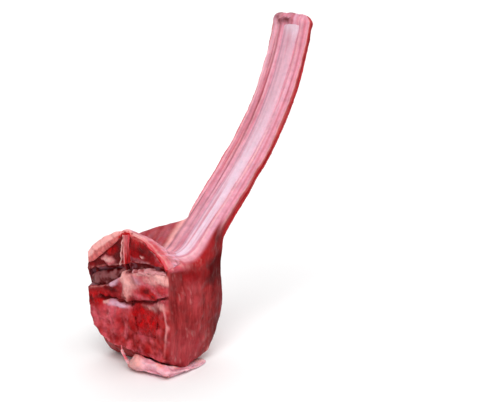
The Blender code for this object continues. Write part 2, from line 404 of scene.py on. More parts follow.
def math_node(tree, operation, a, b=0.0):
    """The result of one sum on a and b."""
    return node(tree, "Math", {"operation": operation}, i0=a, i1=b).outputs[0]


def blend_colour(tree, factor, a, b):
    """Colour a where factor is 0 and b where it is 1."""
    return node(tree, "Mix", {"data_type": "RGBA"}, i0=factor, i6=a, i7=b).outputs[2]


def noise(tree, vector, scale, detail, roughness=0.5):
    """A noise texture over a vector."""
    return node(tree, "TexNoise", None, Vector=vector, Scale=scale, Detail=detail, Roughness=roughness)


def step(tree, value, low, high, kind="SMOOTHSTEP", start=0.0, end=1.0):
    """From start to end as the value goes from low to high."""
    made = node(tree, "MapRange", {"interpolation_type": kind}, i0=value, i1=low, i2=high, i3=start, i4=end)
    return made.outputs[0]


def fibre_group():
    """Strands of tissue: noise drawn out along one direction, in two sizes, with fine grains across them."""
    group, given, out = node_group(
        "muscle_fibres",
        [("Vector", "Vector", None), ("Density", "Vector", (900.0, 900.0, 90.0)), ("Contrast", "Float", 0.5)],
        [("Strands", "Float"), ("Height", "Float")],
    )
    multiply = {"operation": "MULTIPLY"}
    place = node(group, "VectorMath", multiply, i0=given["Vector"], i1=given["Density"]).outputs[0]
    coarse = math_node(group, "MULTIPLY", noise(group, place, 0.45, 3.0, 0.6).outputs["Fac"], 0.6)
    fine = math_node(group, "MULTIPLY", noise(group, place, 1.5, 2.0, 0.55).outputs["Fac"], 0.4)
    both = math_node(group, "ADD", coarse, fine)
    gain = math_node(group, "MULTIPLY", given["Contrast"], 6.0)
    strong = math_node(group, "MULTIPLY", math_node(group, "SUBTRACT", both, 0.5), gain)
    strands = node(group, "Clamp", None, Value=math_node(group, "ADD", strong, 0.5))
    group.links.new(strands.outputs[0], out["Strands"])
    group.links.new(both, out["Height"])
    return group


def spongy_group():
    """Sawn spongy bone: small cells with pale walls between them, and red in their hollows."""
    group, given, out = node_group(
        "spongy_bone",
        [("Vector", "Vector", None), ("Cells", "Float", 900.0)],
        [("Hollow", "Float"), ("Height", "Float")],
    )
    bent = noise(group, given["Vector"], 400.0, 2.0).outputs["Color"]
    add = {"operation": "MULTIPLY_ADD"}
    moved = node(group, "VectorMath", add, i0=bent, i1=(0.0016,) * 3, i2=given["Vector"]).outputs[0]
    cells = node(group, "TexVoronoi", {"feature": "DISTANCE_TO_EDGE"}, Vector=moved, Scale=given["Cells"])
    hollow = step(group, cells.outputs["Distance"], 0.02, 0.2)
    group.links.new(hollow, out["Hollow"])
    group.links.new(math_node(group, "SUBTRACT", 1.0, hollow), out["Height"])
    return group


def wet_group():
    """Moist film: roughness that wanders between wet and dry, and a mask of where the film is thick."""
    group, given, out = node_group(
        "moist_film",
        [
            ("Vector", "Vector", None),
            ("Wet", "Float", 0.22),
            ("Dry", "Float", 0.5),
            ("Scale", "Float", 120.0),
        ],
        [("Roughness", "Float"), ("Film", "Float")],
    )
    film = step(group, noise(group, given["Vector"], given["Scale"], 4.0, 0.6).outputs["Fac"], 0.38, 0.6)
    mixed = step(group, film, 0.0, 1.0, "LINEAR", given["Dry"], given["Wet"])
    group.links.new(mixed, out["Roughness"])
    group.links.new(film, out["Film"])
    return group


def layers_group():
    """Layers of tissue over a base colour, each by its own mask, the later over the earlier; the deep layer
    is also painted shade, and the pale and cool layers carry some painted highlights.
    """
    inputs = [("Base", "Color", None)]
    inputs += [(layer + " mask", "Float", 0.0) for layer in LAYERS]
    inputs += [(layer, "Color", None) for layer in LAYERS]
    group, given, out = node_group("tissue_layers", inputs, [("Color", "Color")])
    colour = given["Base"]
    for layer in LAYERS:
        colour = blend_colour(group, given[layer + " mask"], colour, given[layer])
    group.links.new(colour, out["Color"])
    return group


def shared(name, maker):
    """The settings that put a group, made once, into a group node."""
    return {"node_tree": bpy.data.node_groups.get(name) or maker()}


def tissue(
    name, look, tones, density, contrast, depth, film, coat, spongy=0.0, soft=0.12, pale=None, mottling=0.25
):
    """A wet tissue: fibres between a dark and a light tone, or spongy cells, under the painted layers.

    Film is the roughness where it is (wet, dry), depth the bump's in metres, and soft the light let in.
    """
    material = bpy.data.materials.new(name)
    material.use_nodes = True
    tree = material.node_tree
    shader = tree.nodes["Principled BSDF"]
    place = node(tree, "TexCoord").outputs["Object"]

    def mask(key):
        """A mask that is painted on the mesh."""
        return node(tree, "Attribute", {"attribute_name": key}).outputs["Fac"]

    fibre_settings = shared("muscle_fibres", fibre_group)
    fibres = node(tree, "Group", fibre_settings, Vector=place, Density=density, Contrast=contrast).outputs
    strands = fibres["Strands"]
    drawn = node(tree, "Mix", {"data_type": "FLOAT"}, i0=mask("drawn"), i2=strands, i3=mask("strand"))
    base = blend_colour(tree, drawn.outputs[0], (*tones[0], 1), (*tones[1], 1))
    height = fibres["Height"]
    if spongy:
        bone = node(tree, "Group", shared("spongy_bone", spongy_group), Vector=place).outputs
        red = math_node(tree, "MULTIPLY", bone["Hollow"], spongy)
        base = blend_colour(tree, red, base, (*look.marrow, 1))
        height = math_node(tree, "ADD", height, math_node(tree, "MULTIPLY", bone["Height"], 0.8))
    colours = (look.rosy, pale or look.fat, look.lining, look.blood, look.deep)
    sockets = {layer + " mask": mask(layer) for layer in LAYERS}
    sockets |= {layer: (*colour, 1) for layer, colour in zip(LAYERS, colours)}
    layers = node(tree, "Group", shared("tissue_layers", layers_group), Base=base, **sockets)
    clouds = noise(tree, place, 260.0, 5.0, 0.65).outputs["Fac"]
    shade = step(tree, clouds, 0.3, 0.7, "LINEAR", 1 - mottling, 1 + mottling)
    varied = node(tree, "VectorMath", {"operation": "SCALE"}, i0=layers.outputs["Color"], Scale=shade)
    tree.links.new(varied.outputs[0], shader.inputs["Base Color"])
    wet = node(tree, "Group", shared("moist_film", wet_group), Vector=place, Wet=film[0], Dry=film[1]).outputs
    tree.links.new(wet["Roughness"], shader.inputs["Roughness"])
    tree.links.new(math_node(tree, "MULTIPLY", wet["Film"], coat), shader.inputs["Coat Weight"])
    shader.inputs["Coat Roughness"].default_value = 0.2
    shader.inputs["Specular IOR Level"].default_value = 0.05
    shader.inputs["Subsurface Weight"].default_value = soft
    shader.inputs["Subsurface Radius"].default_value = (1.0, 0.32, 0.24)
    shader.inputs["Subsurface Scale"].default_value = 0.003
    bump = node(tree, "Bump", None, Height=height, Strength=0.5, Distance=depth)
    tree.links.new(bump.outputs["Normal"], shader.inputs["Normal"])
    return material


# The sawn face

CREASE = [(18, 37.4), (8, 37.9), (-2.3, 37.5), (-8, 38.1), (-12.3, 39.2), (-19, 41.4), (-26.8, 44.8)]
FASCIA = [(-24.6, 40), (-25.6, 34), (-26.3, 29), (-25.4, 20), (-24.4, 12)]
CANAL_SLIT = [(-6.5, 58.0), (-12, 58.2), (-19, 59.0), (-26.8, 60.2)]
# Patches, the later over the earlier: layer, strength, (y, z), half sizes, turn, softness, breaking up
# The deep patches are dark blood, with painted shade in the pits, the holes and the canal's opening
FACE_PATCHES = (
    ("rosy", 0.35, (15, 25), (12, 9), 0, 0.8, 0.7),
    ("blood", 0.95, (-10.8, 30.0), (9.4, 6.6), 4, 0.5, 0.6),
    ("blood", 0.85, (20.8, 36.0), (7.2, 4.0), -8, 0.6, 0.5),
    ("deep", 0.8, (24.5, 35.2), (2.0, 1.6), 0, 0.7, 0.3),
    ("deep", 0.7, (18.2, 37.2), (2.6, 1.2), 0, 0.7, 0.3),
    ("pale", 0.6, (-15.7, 37.2), (4.2, 1.5), 8, 0.8, 0.7),
    ("pale", 0.7, (-22.5, 39.6), (3.6, 1.6), 12, 0.8, 0.6),
    ("rosy", 0.5, (6.0, 33.8), (9.5, 3.2), -8, 0.7, 0.3),
    ("cool", 0.92, (6.0, 35.3), (6.8, 1.9), -6, 0.5, 0.15),
    ("pale", 0.85, (14.3, 35.3), (2.2, 1.1), 0, 0.5, 0.1),
    ("deep", 0.85, (14.0, 59.5), (11.5, 6.0), -20, 0.6, 0.4),
    ("deep", 0.8, (6.0, 66.7), (2.6, 7.0), 4, 0.6, 0.3),
    ("blood", 0.8, (10.0, 64.0), (3.6, 2.2), -25, 0.7, 0.4),
    ("rosy", 0.95, (12.2, 59.0), (4.8, 2.2), -4, 0.4, 0.0),
    ("pale", 0.9, (12.0, 59.3), (3.6, 1.3), -4, 0.8, 0.1),
    ("blood", 0.95, (-6.4, 67.0), (6.6, 6.4), 10, 0.6, 0.2),
    ("deep", 0.5, (-7.0, 66.0), (3.4, 3.4), 10, 0.9, 0.3),
    ("deep", 0.75, (-14.0, 66.0), (6.0, 3.8), 20, 0.6, 0.4),
    ("blood", 0.5, (-20.5, 63.0), (5.5, 2.8), 18, 0.7, 0.4),
    ("rosy", 0.5, (-21.5, 64.6), (4.0, 2.0), 20, 0.7, 0.4),
    ("cool", 0.42, (-8.0, 61.0), (8.0, 1.2), 6, 0.8, 0.4),
    ("deep", 0.35, (-8.0, 60.2), (9.0, 1.6), 6, 0.8, 0.2),
    ("pale", 0.8, (-11.1, 63.7), (1.3, 0.9), 0, 0.6, 0.0),
    ("rosy", 0.9, (-11.5, 48.6), (16.0, 8.6), 8, 0.4, 0.15),
    ("pale", 0.55, (-15.0, 53.2), (11.0, 2.6), 8, 0.8, 0.6),
    ("pale", 0.4, (-7.5, 49.0), (5.0, 3.6), 8, 0.8, 0.8),
    ("pale", 0.95, (-1.2, 47.8), (3.8, 5.0), -8, 0.7, 0.3),
    ("pale", 0.8, (2.7, 52.4), (1.8, 3.4), -12, 0.6, 0.2),
    ("pale", 0.6, (0.6, 42.0), (2.2, 3.0), 0, 0.8, 0.6),
    ("blood", 0.4, (-9.5, 51.5), (2.4, 1.3), 20, 0.8, 0.3),
    ("deep", 0.35, (-4.6, 50.6), (0.9, 2.4), -10, 0.8, 0.2),
    ("cool", 0.85, (8.8, 47.6), (5.0, 1.6), -38, 0.6, 0.2),
    ("cool", 0.45, (-8.0, 50.6), (3.0, 1.6), 20, 0.8, 0.4),
    ("blood", 0.9, (-12.8, 45.0), (4.6, 2.8), 10, 0.6, 0.2),
    ("deep", 0.75, (-12.6, 45.4), (2.4, 1.3), 0, 0.7, 0.1),
    ("blood", 0.95, (-17.4, 43.9), (3.0, 2.2), 0, 0.5, 0.1),
    ("deep", 0.5, (-17.6, 43.4), (1.4, 1.0), 0, 0.8, 0.1),
    ("blood", 0.55, (-22.5, 48.2), (3.6, 2.0), 12, 0.7, 0.4),
    ("blood", 0.45, (-6.5, 44.0), (2.6, 1.6), 0, 0.8, 0.4),
    # A pale lump, its brightness partly a painted highlight
    ("pale", 0.96, (-23.8, 54.5), (4.0, 2.8), 10, 0.5, 0.1),
    ("deep", 0.92, (-1.8, 54.6), (3.0, 1.9), 0, 0.5, 0.1),
    ("deep", 0.92, (11.4, 42.2), (3.8, 1.5), -6, 0.6, 0.1),
)
# Lines: layer, strength, path of (y, z), half width
FACE_LINES = (
    ("pale", 0.85, [(1.9, 74), (2.7, 66), (3.3, 60), (4.3, 54.7)], 1.0),
    ("deep", 0.6, [(-2.1, 75), (-2.3, 68), (-2.0, 61)], 0.7),
    ("pale", 0.45, [(-8, 54.4), (-16, 55.2), (-26.5, 57.0)], 1.2),
    # Painted shade in the slit under the canal, and along the crease
    ("deep", 0.85, [(-12.6, 56.0), (-15.5, 56.5), (-19, 57.0)], 0.9),
    ("deep", 0.85, CREASE, 1.2),
)
# Low swellings, as (height in mm, (y, z), half sizes, turn, softness)
FACE_SWELLINGS = (
    (1.1, (12.2, 59.0), (4.0, 1.8), -4, 0.7),
    (0.9, (-23.8, 54.5), (4.4, 2.9), 10, 0.8),
    (0.7, (-1.2, 47.6), (3.8, 5.6), -8, 0.8),
)


def torn(y, z, reach, size, seed):
    """A place on the sawn face moved by random heights, so that what is painted there gets a ragged edge."""
    place = stack(0, y, z)
    return y + reach * rough(place, size, seed), z + reach * rough(place, size, seed + 1)


def sawn_paint(y, z):
    """Masks of what the saw laid bare and of painted shade in its pits and crease, by place on the sawn face,
    and how high each spot stands in mm.

    Each patch or line takes its share from the masks under it, as a coat of paint does.
    """
    place = stack(0, y, z)
    edge = z - underside(0.0 * y, y)
    plain_y = y
    y, z = torn(*torn(y, z, 0.9, 6.0, 5), 0.4, 1.9, 25)
    big, mid, fine = rough(place, 7.0, 2, 2), rough(place, 2.8, 9, 2), rough(place, 1.1, 13, 2)
    grain, streak = rough(place * (1, 1, 0.6), 3.4, 19, 3), rough(place * (1, 1, 0.3), 1.3, 21, 2)
    broken = smooth(-0.6, 0.3, mid + 0.5 * fine)
    muscle = 1 - smooth(34, 38, z)
    masks = dict.fromkeys(LAYERS, 0 * y)

    def lay(layer, amount):
        """Lay one layer over the others, which it hides by its amount."""
        for key in masks:
            masks[key] = masks[key] * (1 - amount)
        masks[layer] = masks[layer] + amount

    lay("blood", 0.35 * smooth(0.0, 0.6, -grain) * muscle)
    lay("rosy", 0.4 * smooth(0.0, 0.6, grain) * muscle)
    lay("deep", 0.25 * smooth(0.1, 0.6, -streak) * muscle)
    lay("rosy", 0.6 * (1 - smooth(0.8, 3.2, edge)) * smooth(-0.3, 0.3, fine))
    for layer, strength, at, size, turn, soft, breaking in FACE_PATCHES:
        lay(layer, strength * patch(y, z, at, size, turn, soft) * (1 - breaking + breaking * broken))
    high = smooth(56, 60, z)
    clots = smooth(0.05, 0.5, streak * high + rough(place, 1.7, 44, 2) * (1 - high))
    lay("deep", (0.35 + 0.25 * high) * masks["blood"] * clots)
    lay("pale", 0.25 * masks["rosy"] * smooth(0.2, 0.7, fine))
    for layer, strength, path, width in FACE_LINES:
        lay(layer, strength * stroke(y, z, path, width))
    fascia = stroke(plain_y + 0.3 * mid, z, FASCIA, 0.9) * (1 - 0.6 * smooth(28, 14, z)) * (0.8 + 0.25 * mid)
    lay("rosy", 0.6 * fascia)
    lay("pale", 0.5 * fascia)
    lamina = patch(y, z, (-9, 48.5), (18, 9.5), 8, 0.5)
    rise = 0.7 * big + (0.5 - 0.1 * lamina) * mid + 0.12 * fine + 0.5 * lamina + 0.25 * fascia
    rise += 0.7 * masks["pale"] + 0.4 * masks["cool"] - 0.5 * masks["deep"] - 0.9 * stroke(y, z, CREASE, 1.3)
    rise += sum(height * patch(y, z, at, size, turn, soft) for height, at, size, turn, soft in FACE_SWELLINGS)
    return {key: np.clip(value, 0, 1) for key, value in masks.items()}, rise


# Pieces


def muscle_form():
    """The block and strip: a tube of superellipse rings along the lining, the bone's room pressed into it.

    Returns the tube, and where each of its points is: its distance s along the lining, its x, y and z, its
    depth through the ring from -1 to 1, and masks of the sides and parts that it belongs to.
    """
    first, last = [0, 0.25, 0.7, 1.4, 2.3], np.linspace(183.4, STRIP_END, 9)
    s = np.concatenate([first, np.arange(3.2, 183.0, 0.86), last])
    p, q = rounded_loop(80, 9.0)
    along, across, depth = s[:, None], p[None], q[None]
    far = far_side(along)
    edge = 0.9 * (1 - np.sqrt(1 - (1 - np.clip(along / 1.4, 0, 1)) ** 2))
    tip = 1 - 0.34 * np.clip((along - 182.0) / (STRIP_END - 182.0), 0, 1) ** 2.5
    y = (NEAR_Y + far) / 2 + ((far - NEAR_Y) / 2 - edge) * tip * across
    x, z, _ = lining(along)
    z = z + lining_rise(x, y)
    outer_x, outer_z = outer_side(along, y)
    share = 0.5 + 0.5 * (1 - edge / 30) * tip * depth
    rings = stack(x + (outer_x - x) * share, y, np.maximum(z + (outer_z - z) * share, 0.05))
    sawn_rings, tip_rings = 46, 10
    tube = capped(rings, sawn_rings, tip_rings)
    on_saw = np.concatenate([np.ones(sawn_rings), 1 - smooth(0.4, 1.6, s), np.zeros(tip_rings)])[:, None]
    s = np.concatenate([np.zeros(sawn_rings), s, np.full(tip_rings, STRIP_END)])[:, None]
    x, y, z = coordinates(tube)
    top, under = smooth(0.86, 0.98, -depth), smooth(0.86, 0.98, depth)
    near, far = smooth(0.86, 0.98, -across), smooth(0.86, 0.98, across)
    strip = smooth(44, 58, s)
    # The bone's room, pressed in from the cut faces
    reach, bottom = arch_reach(y, z)
    room = smooth(0.35, 1.5, z - bottom) * smooth(0.4, 1.2, reach - x) * (1 - strip)
    below_disc = z < np.interp(y, SPINE_Y, CANAL_FLOOR) + 0.4
    room = room * (1 - (1 - smooth(1.8, 2.6, np.abs(y))) * below_disc) * smooth(1.0, 1.8, y - NEAR_Y)
    tube[..., 0] += 7.5 * room * on_saw
    tube[..., 1] -= 4.0 * room * far * (x < 20)
    # The lining lies lower over the spine, and lowest at its near corner
    corner = 1 - smooth(1.0, 3.5, y - NEAR_Y)
    tube[..., 2] -= 1.8 * top * (1 - smooth(10.5, 15, x)) * (1 - on_saw) * (1 - corner)
    tube[..., 2] -= 2.2 * np.maximum(top, near * smooth(56, 62, z)) * corner * (1 - smooth(0, 14, x))
    return tube, SimpleNamespace(
        s=s,
        x=x,
        y=y,
        z=z,
        depth=depth,
        top=top,
        under=under,
        near=near,
        far=far,
        strip=strip,
        on_saw=on_saw,
        room=room,
        block=near * (1 - on_saw) * (1 - strip),
    )


def muscle_roughness(at, tube):
    """Add the muscle's random heights, and distances across its strip, from its rib and below its lip."""
    at.place = tube
    at.lengthwise = stack(0.06 * at.s, at.y, STRIP_THICK * (0.5 + 0.5 * at.depth))
    at.cords, at.threads = rough(at.lengthwise, 2.6, 61, 2), rough(at.lengthwise, 1.0, 67, 2)
    at.lumps, at.knobs, at.small = rough(tube, 9.0, 3), rough(tube, 3.2, 8, 2), rough(tube, 1.5, 14, 2)
    at.across = at.y - NEAR_Y
    at.off_rib = np.abs(at.y - RIB_Y) - rib_half(at.s)
    at.below = np.interp(at.x, LIP_X, LIP_Z) - at.z
    at.lip_end = 1 - smooth(12, 24, at.x)
    at.roll = smooth(180.2, 182.6, at.s) * np.clip(at.top + 0.4 * at.far + 0.4 * at.near, 0, 1)
    at.nub = bell(at.s, 184.5, 1.6) * bell(at.across, 20.5, 1.5) * np.clip(at.top + at.far, 0, 1)


def muscle_relief(at, look, rise):
    """Height of the muscle's surface over its form, in mm: its swellings, cords and rolled tip."""
    x, z, top = at.x, at.z, at.top
    height = (0.6 * at.lumps * (1 - 0.5 * top) + 0.25 * at.knobs * (1 - 0.6 * top)) * (1 - 0.5 * at.strip)
    height += 0.1 * at.small * (1 - top) + 0.6 * at.lumps * at.under * (1 - at.strip)
    height += at.strip * ((0.22 + 0.45 * at.under) * at.cords + 0.25 * at.threads) * (1 - 0.45 * top)
    beside_rib = bell(at.off_rib, 0.4, 1.3) * smooth(16, 26, at.s) * (1 - smooth(178, 183, at.s))
    height += look.swelling / MM * beside_rib * top
    height -= 0.45 * top * at.strip * bell(at.off_rib, 3.6, 1.8) * (at.y > RIB_Y)
    height += 0.18 * top * at.threads * smooth(14, 24, at.s)
    # The near side: its bulge, the lip below the lining, and the hollow under the lip
    height += at.block * look.bulge / MM * bell(x, 24, 19) * bell(z, 28, 22)
    height += at.block * (0.2 + at.lip_end) * smooth(-1.5, 0.9, -at.below)
    height -= at.block * (0.7 + 0.6 * at.lip_end) * bell(at.below, 1.6, 3.0) * smooth(1, 6, x)
    height -= at.block * smooth(40, 47, x) * smooth(30, 50, z)
    height += 0.9 * at.near * (1 - at.on_saw) * smooth(55, 60, z) * (1 - smooth(12, 17, x))
    # The far side
    height += at.far * 1.1 * bell(z, 27, 11) * (1 - smooth(2, 16, x))
    height += at.far * (1 - at.strip) * (0.8 * bell(x, 30, 14) * bell(z, 30, 20) + 0.3 * at.lumps)
    height += at.strip * at.far * smooth(50, 60, at.s) * (1 - smooth(95, 130, at.s))
    height = np.where(at.near > 0.3, np.maximum(height, -0.1 - 4 * smooth(12, 16, x)), height)
    sawn = at.on_saw * (1 - at.far)
    height = height * (1 - sawn) + (rise + 0.1) * sawn
    # The strip's end
    height += at.roll * (0.3 + 0.6 * at.knobs + 0.4 * smooth(4, 16, at.across))
    curl = bell(at.s, 183.2, 1.8) * top * smooth(2, 7, at.across)
    height += 0.9 * curl * (1 + 0.6 * at.knobs) + 1.1 * at.nub
    return height * smooth(-1, 2.5, z) * (1 - at.room * (1 - at.on_saw))


def muscle_layers(at, paint):
    """Masks of the muscle: its lined top and strip, its cut and outer sides, and the sawn face's paint."""
    x, y, z, s, strip, block = at.x, at.y, at.z, at.s, at.strip, at.block
    drawn_out = at.lengthwise * (0.6, 1, 1)
    strand, band = rough(at.lengthwise, 1.1, 71, 3), rough(drawn_out, 2.2, 73, 2)
    thread = smooth(0.1, 0.34, rough(drawn_out, 1.35, 79, 2))
    big = rough(at.place, 15.0, 91, 3)
    flesh = np.clip(1 - at.across / 2.0, 0, 1)
    on_top, beyond_rib = at.top * (1 - at.on_saw), y > RIB_Y
    near_line = bell(at.off_rib, 0.3, 0.6) * (y < RIB_Y)
    edge_line = bell(at.across, STRIP_WIDTH - 0.9, 0.8) * strip
    beyond = smooth(-4.5, -1.5, y) * (1 - strip)
    lined = on_top * smooth(11, 18, s) * (1 - 0.75 * beyond)
    cut = strip * at.near
    wrapped = cut * (1 - smooth(-0.5, -0.1, at.depth + 0.2 * band))
    back = (1 - strip) * (1 - at.on_saw) * smooth(0.45, 0.95, at.depth + 0.3 * at.knobs) * smooth(20, 34, x)
    silver = back * smooth(6, 22, z + 6 * big) * smooth(-0.3, 0.5, big + 0.35 * at.knobs)
    streak = bell(y + 0.8 * band, -2.9, 1.5) * smooth(24, 34, s) * (1 - smooth(56, 66, s)) * on_top
    dark_line = bell(y + 0.8 * band, -5.2, 0.8) * smooth(22, 30, s) * (1 - smooth(60, 80, s)) * on_top
    shade_drop = at.below - 1.5 - 0.2 * np.clip(x - 14, 0, 30)
    shaded = block * bell(shade_drop, 0, 2.0 + 0.1 * x) * smooth(5, 18, x)
    low_left = block * smooth(30, 14, z) * smooth(34, 18, x)
    # Thin pink tissue over the lining, the strip's sides and the lip
    rosy = lined * (0.62 + 0.35 * band) * (1 - 0.55 * flesh)
    sides = 1 - 0.6 * at.near * (1 - smooth(80, 165, s))
    rosy += strip * (1 - on_top) * np.clip(0.12 + 0.55 * smooth(0.0, 0.5, band), 0, 0.7) * sides
    rosy += block * 0.85 * smooth(-1, 0.6, -at.below) * at.lip_end
    rosy += 0.12 * block * smooth(0.1, 0.6, at.lumps) + 0.14 * block * smooth(30, 14, z) * smooth(36, 20, x)
    rosy = rosy * (1 - wrapped) + 0.8 * wrapped
    # Pale fat and gristle along the rib, on the strip's outer side, the lip and the back
    pale = lined * (np.maximum(0.55 * near_line, 0.75 * edge_line) + 0.45 * thread * (1 - flesh))
    pale += 0.6 * cut * bell(at.depth + 0.2 * band, -0.3, 0.2)
    streaky = 0.45 + 0.55 * smooth(-0.4, 0.4, at.knobs + at.lumps)
    pale += at.under * strip * 0.75 * smooth(0.12, 0.6, at.cords + 0.4 * strand) * streaky
    pale = np.maximum(pale, 0.95 * streak)
    pale += 0.6 * back * smooth(-0.2, 0.5, at.lumps + 0.5 * at.knobs) * (1 - smooth(4, 20, z + 5 * big))
    pale += 0.5 * block * smooth(0.2, 0.9, -at.below) * at.lip_end * smooth(-0.4, 0.4, at.knobs)
    # Pale flecks along the fibres of the near side, partly painted glints
    flecks_and_glints = smooth(0.3, 0.75, rough(at.place * (1, 1, 0.3), 1.0, 101, 2))
    pale += 0.2 * block * flecks_and_glints * smooth(-0.3, 0.4, rough(at.place, 8.0, 103, 2))
    # The cool lining, and silverskin on the back
    cool = lined * (0.42 + 0.4 * band) * np.where(beyond_rib, 1.0, 1.3) * (1 - flesh)
    cool = (cool + 0.55 * wrapped + 0.45 * silver * smooth(-0.5, 0.3, at.small)) * (1 - streak)
    # Dark creases and spots; painted shade under the lip, on the near side away from the sawn face, and in
    # the hollows between its lumps
    deep = 0.6 * dark_line + 0.3 * lined * bell(at.off_rib, 1.9, 0.7) * beyond_rib
    deep += 0.2 * lined * smooth(0.15, 0.5, -strand) * (1 - pale) * beyond_rib
    deep += 0.55 * shaded + 0.65 * block * smooth(30, 46, x)
    deep += 0.3 * block * smooth(0.0, 0.5, -at.lumps) * (1 - low_left)
    deep += 0.35 * (1 - strip) * at.far + 0.3 * cut * smooth(0.05, 0.5, -at.cords) * (1 - wrapped)
    deep += 0.4 * bell(s, 183.4, 1.4) * bell(at.across, 12.5, 2.6) * at.top
    deep += 0.12 * beyond * on_top + 0.7 * at.nub
    deep += 0.5 * at.roll * smooth(6, 12, at.across) * smooth(-0.2, 0.3, at.knobs)
    # Bright blood, and dark red painted shade under the lip and on the near side above it, away from the sawn
    # face
    blood = 0.35 * block * smooth(-2, 1.5, -at.below) * (1 - at.lip_end) + 0.5 * shaded
    blood += 0.35 * cut * smooth(-0.1, 0.5, at.cords) * (1 - wrapped)
    blood += 0.25 * beyond * on_top * smooth(-0.2, 0.4, at.knobs)
    grown = {"rosy": rosy, "pale": pale, "cool": cool, "blood": blood, "deep": deep}
    layers = {key: paint[key] * at.on_saw + grown[key] * (1 - at.on_saw) for key in LAYERS}
    along_fibres, across_fibres = rough(at.lengthwise, 0.9, 83, 3), rough(at.place, 2.2, 85, 3)
    strands = 0.9 * (along_fibres * (1 - at.on_saw) + across_fibres * at.on_saw)
    return painted(strands, np.clip(strip + at.on_saw, 0, 1) * 0.8, **layers)


def muscle_tube(look):
    """The muscle's form, moved along its normals by its relief, and its masks."""
    tube, at = muscle_form()
    muscle_roughness(at, tube)
    paint, rise = sawn_paint(at.y, at.z)
    finished = swell(tube, muscle_relief(at, look, rise))
    finished[..., 2] = np.maximum(finished[..., 2], 0.03)
    return finished, muscle_layers(at, paint)


def rib_tube():
    """The rib under its lining: superellipse sections along the lining, rounded off at the upper end."""
    first_rings, last_rings = 4, 12
    s = np.concatenate([np.linspace(RIB_START, RIB_START + 3, 9), np.arange(20.4, 180.2, 0.42)])
    s = np.concatenate([s, np.linspace(180.4, RIB_END, 4)])[:, None]
    x, z, heading = lining(s)
    half = rib_half(s) * (0.72 + 0.28 * smooth(RIB_START, RIB_START + 9.84, s))
    half = half * (1 - (np.clip(s - RIB_END + 3.6, 0, None) / 3.8) ** 4) ** 0.25
    off, through = rounded_loop(26, 3.0)
    depth = (RIB_DEPTH - RIB_PROUD) / 2 + through * (RIB_DEPTH + RIB_PROUD) / 2
    rings = stack(x + depth * np.sin(heading), RIB_Y + half * off, z - depth * np.cos(heading))
    tube = capped(rings, first_rings, last_rings)
    s = np.concatenate([np.full((first_rings, 1), RIB_START), s, np.full((last_rings, 1), RIB_END)])
    end = (np.arange(len(s)) >= len(s) - last_rings)[:, None] * 1.0
    lengthwise = stack(0.035 * s, off * 5, through * 3)
    swirl, strand = rough(lengthwise, 1.9, 12, 3), rough(lengthwise, 0.8, 15, 2)
    height = 0.14 * swirl + 0.08 * strand + 0.15 * bell(np.abs(off), 0.86, 0.1)
    tube = swell(tube, height * (1 - end) + 0.35 * end * rough(tube, 1.5, 19, 2))
    top, upper = smooth(0.3, 0.8, -through), smooth(70, 160, s)
    bare = smooth(170.0, 180.0, s + 1.5 * swirl - 2.0 * off)
    near_line, far_line = bell(off, -0.86, 0.12), bell(off, 0.84, 0.14)
    # Sheen: the whitest lining down the rib's middle, partly a painted highlight
    sheen = np.exp(-((np.abs(off + 0.12 + 0.12 * swirl) / 0.72) ** 3))
    grey = smooth(-0.1, 0.35, rough(lengthwise * (0.6, 1, 1), 2.4, 21, 2))
    marrow = end * (1 - smooth(0.35, 0.75, np.abs(off)))
    pale = 0.95 * sheen * (1 - 0.6 * upper) * smooth(-0.9, 0.0, swirl) + 0.2 * smooth(0.3, 0.7, strand) * top
    pale = np.clip(pale * (1 - bare) + 0.6 * bare, 0, 1)
    deep = 0.28 * bell(off, 0.66, 0.09) + 0.2 * upper * grey + 0.08 * smooth(0.2, 0.6, -swirl)
    rosy = 0.3 + 0.9 * near_line + 0.35 * far_line + 0.3 * smooth(0.1, 0.5, strand)
    return tube, painted(
        0.9 * strand,
        1.0,
        rosy=rosy * (1 - 0.6 * bare),
        pale=pale * (1 - 0.6 * marrow),
        cool=(0.85 - 0.5 * sheen) * (1 - 0.7 * near_line) * (1 - 0.8 * bare),
        blood=0.2 * near_line * (1 - bare) * (1 - end) + 0.7 * marrow,
        deep=deep * (1 - bare),
    )


def bone_outline(y):
    """A halved vertebra's outline at each y: dome, side of the arch, its bottom, canal and sawn faces.

    Returns it as loops of (x, z), and 1 for each of their points that lies in the canal.
    """
    _, bone_top, roof, floor, bottom = spine_levels(y)
    corners = dome(BODY_HALF_WIDTH, bone_top, roof - 0.5, np.radians(np.linspace(90, 0, 9)))
    start = floor - 2.0
    corners.append((11.0, (roof + floor) / 2))
    corners += [(width, start + (bottom - start) * t) for width, t in zip(ARCH_WIDTHS, ARCH_STEPS)]
    corners.append((0.0, bottom))
    before_canal = len(corners)
    half = (roof - floor) / 2
    turns = np.radians(np.linspace(-90, 90, 9))
    corners += [(half * 0.9 * np.cos(a), floor + half * (1 + np.sin(a))) for a in turns]
    # A count for each side: dome, arch, its bottom, the face below the canal, the canal, the face above it
    counts = [4] * 8 + [6, 5, 10, 12, 12, 12, 84] + [4] * 8 + [40]
    first = sum(counts[:before_canal])
    place = np.arange(sum(counts))
    return outline(corners, counts), ((place >= first) & (place < first + 32)) * 1.0


